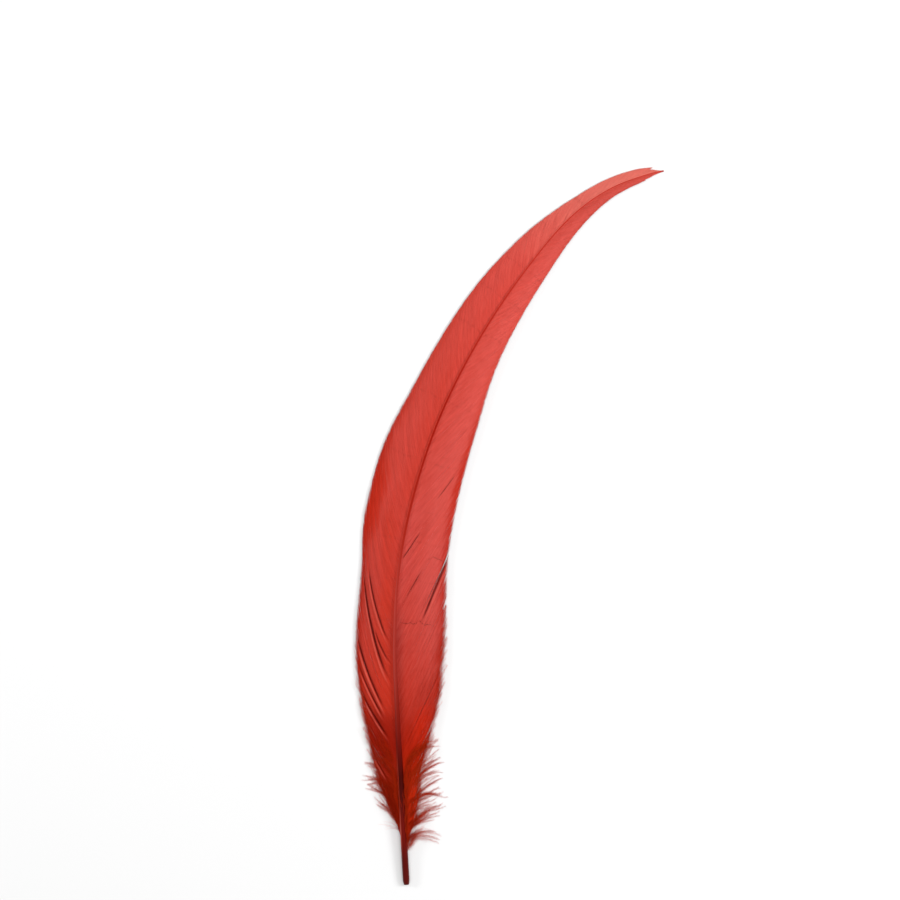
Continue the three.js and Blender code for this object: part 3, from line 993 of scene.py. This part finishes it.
def polished_shaft():
    """The quill's smooth, dark maroon keratin, duller and paler along the vane, with a painted highlight on
    its flank and painted shade on its sides.
    """
    material, nodes = new_material("polished_shaft")
    station, across, over = nodes.attributes("station", "across", "over")
    grain = nodes.noise(station * 0.1, across * 3, over * 3, 3, 0.6)
    fibres = nodes.noise(station * 0.5, across * 14, over * 14, 2, 0.6)
    dents = nodes.add("ShaderNodeBump", None, {"Strength": 0.25, "Distance": 0.0001, "Height": fibres})
    tone = nodes.darkened(nodes.along_shaft(SHAFT_TONES, station), 0.72 + grain * 0.4 + fibres * 0.2)

    # A painted highlight on the quill's left flank. Along the vane, painted shade darkens the sides, and a
    # pale band is a painted highlight.
    flank = across.ramp(-0.4, -0.75) * station.ramp(60, 44) * station.ramp(10, 22)
    sides = nodes.math("ABSOLUTE", across).ramp(0.35, 0.8) * station.ramp(50, 80)
    pale_strip_highlight = across.ramp(0.15, -0.5) * station.ramp(46, 100) * station.ramp(150, 112)
    layers = (((166, 54, 38), flank * 0.8), ((104, 14, 8), sides * 0.55), ((184, 74, 66), pale_strip_highlight * 0.45))
    sockets = {
        "Base Color": nodes.painted(tone, layers),
        "Roughness": 0.3 + grain * 0.14,
        "Specular IOR Level": 0.08,
        "Specular Tint": colour(255, 130, 115),
        "Coat Weight": station.ramp(62, 34) * 0.35,
        "Coat Roughness": 0.1,
        "Normal": dents,
    }
    finish_material(nodes, nodes.add("ShaderNodeBsdfPrincipled", None, sockets))
    return material


# Meshes


def new_object(name, data):
    thing = bpy.data.objects.new(name, data)
    bpy.context.scene.collection.objects.link(thing)
    return thing


def add_to_feather(piece):
    """Lets a piece ride on the feather's body, in place of its solid."""
    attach(piece, "root")
    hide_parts("feather")


def set_attribute(mesh, name, values):
    """Gives each point of a mesh a number or a direction."""
    kind, part = ("FLOAT_VECTOR", "vector") if values.ndim == 3 else ("FLOAT", "value")
    attribute = mesh.attributes.new(name, kind, "POINT")
    attribute.data.foreach_set(part, values.astype(np.float32).ravel())


def guide_mesh(name, lines):
    """A mesh of open lines, one for each row of points, whose points carry the rest as attributes."""
    rows, steps, _ = lines["points"].shape
    numbers = np.arange(rows * steps).reshape(rows, steps)
    line_edges = np.stack([numbers[:, :-1].ravel(), numbers[:, 1:].ravel()], axis=1)
    mesh = bpy.data.meshes.new(name)
    mesh.from_pydata((lines["points"].reshape(-1, 3) * MM).tolist(), line_edges.tolist(), [])
    for key, values in lines.items():
        if key != "points":
            set_attribute(mesh, key, values * MM if key == "half_width" else values)
    return mesh


def new_tree(name, sizes):
    """Nodes for a tree that takes guide lines and named sizes, and those inputs."""
    tree = bpy.data.node_groups.new(name, "GeometryNodeTree")
    tree.interface.new_socket("Geometry", in_out="INPUT", socket_type="NodeSocketGeometry")
    tree.interface.new_socket("Geometry", in_out="OUTPUT", socket_type="NodeSocketGeometry")
    for label, size in sizes.items():
        kind = "NodeSocketInt" if isinstance(size, int) else "NodeSocketFloat"
        tree.interface.new_socket(label, in_out="INPUT", socket_type=kind)
    nodes = Nodes(tree)
    group = tree.nodes.new("NodeGroupInput")
    return nodes, [Value(nodes, group.outputs[label]) for label in ("Geometry", *sizes)]


def finish_tree(nodes, geometry, material):
    """Shades the faces smoothly, makes instances real and gives all a material."""
    sockets = {"Geometry": geometry, "Shade Smooth": True}
    geometry = nodes.add("GeometryNodeSetShadeSmooth", None, sockets)
    geometry = nodes.add("GeometryNodeRealizeInstances", None, {"Geometry": geometry})
    sockets = {"Geometry": geometry, "Material": material}
    geometry = nodes.add("GeometryNodeSetMaterial", None, sockets)
    output = nodes.tree.nodes.new("NodeGroupOutput")
    nodes.tree.links.new(geometry.socket, output.inputs["Geometry"])
    return nodes.tree


def named_attribute(nodes, name, kind="FLOAT"):
    return nodes.add("GeometryNodeInputNamedAttribute", {"data_type": kind}, {"Name": name})


def swept(nodes, lines, section):
    """A closed rod along each line, as wide as its half_width says."""
    half_width = named_attribute(nodes, "half_width")
    sockets = {"Curve": lines, "Profile Curve": section, "Scale": half_width, "Fill Caps": True}
    return nodes.add("GeometryNodeCurveToMesh", None, sockets)


def barb_tree(material):
    """Sweeps a four-sided section along each guide line."""
    nodes, (guides, ridge, keel) = new_tree("barbs", BARB_SIZES)
    lines = nodes.add("GeometryNodeMeshToCurve", None, {"Mesh": guides})
    sockets = {"Curve": lines, "Normal": named_attribute(nodes, "up", "FLOAT_VECTOR")}
    lines = nodes.add("GeometryNodeSetCurveNormal", {"mode": "FREE"}, sockets)
    corners = {
        "Point 1": nodes.vector(ridge, 0, 0),
        "Point 2": (0, 1, 0),
        "Point 3": nodes.vector(0 - keel, 0, 0),
        "Point 4": (0, -1, 0),
    }
    section = nodes.add("GeometryNodeCurvePrimitiveQuadrilateral", {"mode": "POINTS"}, corners)
    return finish_tree(nodes, swept(nodes, lines, section), material)


def leaning_spike(nodes):
    """A slender three-sided barbule, whose points know their height as fibre."""
    sockets = {"Vertices": 3, "Radius Top": 0, "Radius Bottom": 1, "Depth": 1}
    spike = nodes.add("GeometryNodeMeshCone", {"fill_type": "NGON"}, sockets)
    place = nodes.add("GeometryNodeInputPosition")
    height = nodes.add("ShaderNodeSeparateXYZ", None, {"Vector": place}, "Z")
    lean = nodes.vector(height * BARBULE_LEAN, 0, 0)
    spike = nodes.add("GeometryNodeSetPosition", None, {"Geometry": spike, "Offset": lean})
    settings = {"data_type": "FLOAT", "domain": "POINT"}
    sockets = {"Geometry": spike, "Name": "fibre", "Value": height}
    return nodes.add("GeometryNodeStoreNamedAttribute", settings, sockets)


def down_tree(material):
    """Sweeps thin barbs along the guide lines, with leaning barbules where they have fluff."""
    nodes, (guides, length, spacing, width, floor_gap, seed) = new_tree("down", BARBULE_SIZES)
    lines = nodes.add("GeometryNodeMeshToCurve", None, {"Mesh": guides})
    section = nodes.add("GeometryNodeCurvePrimitiveCircle", None, {"Resolution": 4, "Radius": 1})
    barbs = swept(nodes, lines, section)

    def chance(low, high, salt):
        """A random number for each barbule."""
        sockets = {"Min_001": low, "Max_001": high, "Seed": seed + salt}
        return nodes.add("FunctionNodeRandomValue", {"data_type": "FLOAT"}, sockets, 1)

    def turned(rotation, y, z):
        """A rotation turned further about its own axes."""
        euler = nodes.add("FunctionNodeEulerToRotation", None, {"Euler": nodes.vector(0, y, z)})
        sockets = {"Rotation": rotation, "Rotate By": euler}
        return nodes.add("FunctionNodeRotateRotation", {"rotation_space": "LOCAL"}, sockets)

    # Barbules stand on both sides in turn, lean off the barb, and twist
    spots = nodes.add("GeometryNodeCurveToPoints", {"mode": "LENGTH"}, {"Curve": lines, "Length": spacing})
    facing = Value(nodes, spots.socket.node.outputs["Rotation"])
    odd = nodes.math("MODULO", nodes.add("GeometryNodeInputIndex"), 2)
    facing = turned(facing, 0, odd * np.pi + chance(-1.1, 1.1, 1))
    facing = turned(facing, chance(0.3, 1.25, 2), 0)
    facing = turned(facing, 0, chance(-2, 2, 4))
    fluff = named_attribute(nodes, "fluff")
    sockets = {
        "Points": spots,
        "Selection": nodes.math("GREATER_THAN", fluff, LEAST_FLUFF),
        "Instance": leaning_spike(nodes),
        "Rotation": facing,
        "Scale": nodes.vector(width, width, fluff * chance(0.35, 1.15, 3) * length),
    }
    barbules = nodes.add("GeometryNodeInstanceOnPoints", None, sockets)

    # None of them reaches below the floor gap
    barbules = nodes.add("GeometryNodeRealizeInstances", None, {"Geometry": barbules})
    place = nodes.add("GeometryNodeInputPosition")
    x, y, z = (nodes.add("ShaderNodeSeparateXYZ", None, {"Vector": place}, axis) for axis in "XYZ")
    rested = nodes.vector(x, y, nodes.math("MAXIMUM", z, floor_gap))
    barbules = nodes.add("GeometryNodeSetPosition", None, {"Geometry": barbules, "Position": rested})
    both = nodes.tree.nodes.new("GeometryNodeJoinGeometry")
    for part in (barbules, barbs):
        nodes.tree.links.new(part.socket, both.inputs[0])
    return finish_tree(nodes, Value(nodes, both.outputs[0]), material)


def made_by_tree(name, lines, tree, sizes):
    """Runs a tree on guide lines, and keeps the result as a plain mesh."""
    guides = guide_mesh(name + "_guides", lines)
    piece = new_object(name, guides)
    modifier = piece.modifiers.new(name, "NODES")
    modifier.node_group = tree
    for item in tree.interface.items_tree:
        if item.name in sizes:
            modifier[item.identifier] = sizes[item.name]
    depsgraph = bpy.context.evaluated_depsgraph_get()
    mesh = bpy.data.meshes.new_from_object(piece.evaluated_get(depsgraph), depsgraph=depsgraph)
    piece.modifiers.remove(modifier)
    piece.data = mesh
    bpy.data.meshes.remove(guides)
    mesh.name = name
    return piece


def shaft_sections():
    """The stations and widths of the shaft's sections, from the hole's inner end round to the tip."""
    steps = 1 - (1 - np.linspace(0, 1, SHAFT_STEPS + 1)) ** SHAFT_CROWDING
    near_pit = PIT_STATION + PIT_REACH * np.linspace(-2, 2, PIT_ROWS)
    stations = np.sort(np.concatenate([lerp(*SHAFT_BODY, steps), near_pit]))
    body = np.stack([stations, shaft_width(stations)], axis=1)
    return np.concatenate([QUILL_HOLE, QUILL_RIM, body, SHAFT_TIP]).T


def make_shaft(material):
    """The quill with its hole, and the shaft with the groove and the pit along its underside."""
    stations, widths = shaft_sections()
    centre, across = shaft_frame(stations)
    angles = np.pi * (2 * np.arange(SHAFT_SIDES) / SHAFT_SIDES - 0.5)
    from_bottom = np.minimum(angles + np.pi / 2, 1.5 * np.pi - angles)
    pit = PIT_DEPTH * np.exp(-(((stations - PIT_STATION) / PIT_REACH) ** 2)) * (widths > QUILL_HOLE_WIDTH)
    groove = (GROOVE_DEPTH * smooth(stations, GROOVE_START, GROOVE_FULL) + pit)[:, None]
    depth = 1 - groove * np.exp(-((from_bottom / GROOVE_SPREAD) ** 2))
    sideways = np.cos(angles) * widths[:, None] / 2
    points = centre[:, None, :] + across[:, None, :] * sideways[..., None]
    points[..., 2] += np.sin(angles) * widths[:, None] / 2 * depth
    rows, sides, _ = points.shape
    numbers = np.arange(rows * sides).reshape(rows, sides)
    nexts = np.roll(numbers, -1, axis=1)
    faces = np.stack([numbers[:-1], numbers[1:], nexts[1:], nexts[:-1]], axis=-1).reshape(-1, 4)
    caps = [numbers[0].tolist(), numbers[-1][::-1].tolist()]
    mesh = bpy.data.meshes.new("shaft")
    mesh.from_pydata((points.reshape(-1, 3) * MM).tolist(), [], faces.tolist() + caps)
    mesh.polygons.foreach_set("use_smooth", np.ones(len(mesh.polygons), bool))
    attributes = {"station": stations[:, None], "across": np.cos(angles), "over": np.sin(angles)}
    for name, values in attributes.items():
        set_attribute(mesh, name, np.broadcast_to(values, (rows, sides)))
    mesh.materials.append(material)
    add_to_feather(new_object("shaft", mesh))


def make_side(side, vane, down_nodes):
    """One vane, its down and its fringe."""
    barbs = vane_barbs(vane)
    barb_nodes = barb_tree(dyed_vane(side + "_dye", vane))
    add_to_feather(made_by_tree(side + "_vane", barbs, barb_nodes, BARB_SIZES))
    down = down_barbs(vane, vane.seed + 40)
    add_to_feather(made_by_tree(side + "_down", down, down_nodes, BARBULE_SIZES))
    fringe = fringe_barbs(barbs, vane.seed + 80)
    add_to_feather(made_by_tree(side + "_fringe", fringe, down_nodes, BARBULE_SIZES))


# Setting


def make_floor():
    half = FLOOR_SIDE / 2
    mesh = bpy.data.meshes.new("floor")
    corners = [(-half, -half, 0), (half, -half, 0), (half, half, 0), (-half, half, 0)]
    mesh.from_pydata(corners, [], [(0, 1, 2, 3)])
    material, nodes = new_material("pale_floor")
    sockets = {"Base Color": (0.75, 0.75, 0.75, 1), "Roughness": 0.8}
    finish_material(nodes, nodes.add("ShaderNodeBsdfPrincipled", None, sockets))
    mesh.materials.append(material)
    new_object("floor", mesh)


def make_camera():
    """Looks straight down, so that the feather lies on the same pixels as in the picture."""
    end_x, end_y = QUILL_END_PIXEL
    middle = np.array([PICTURE_SIDE / 2 - end_x, end_y - PICTURE_SIDE / 2]) * MM_PER_PIXEL
    place = (SHAFT_PLAN[0] + middle) * MM
    field = PICTURE_SIDE * MM_PER_PIXEL * MM
    data = bpy.data.cameras.new("camera")
    data.lens = LENS
    data.sensor_width = SENSOR
    camera = new_object("camera", data)
    camera.location = (place[0], place[1], field * LENS / SENSOR)
    bpy.context.scene.camera = camera


def add_light(name, place, size, power, shines):
    """A square light that faces the feather."""
    data = bpy.data.lights.new(name, "AREA")
    data.energy = power
    data.size = size
    light = new_object(name, data)
    light.location = place
    light.rotation_euler = (-Vector(place)).to_track_quat("-Z", "Y").to_euler()
    light.visible_glossy = shines


def make_light():
    """An evenly lit white room, and the lights in it."""
    world = bpy.data.worlds.new("soft_room")
    world.use_nodes = True
    background = world.node_tree.nodes["Background"]
    background.inputs["Color"].default_value = (1, 1, 1, 1)
    background.inputs["Strength"].default_value = ROOM_LIGHT
    bpy.context.scene.world = world
    for light in LIGHTS:
        add_light(*light)
    bpy.context.scene.view_settings.view_transform = "Standard"


make_camera()
make_light()
make_floor()
make_shaft(polished_shaft())
down_nodes = down_tree(dyed_down())
make_side("left", LEFT_VANE, down_nodes)
make_side("right", RIGHT_VANE, down_nodes)
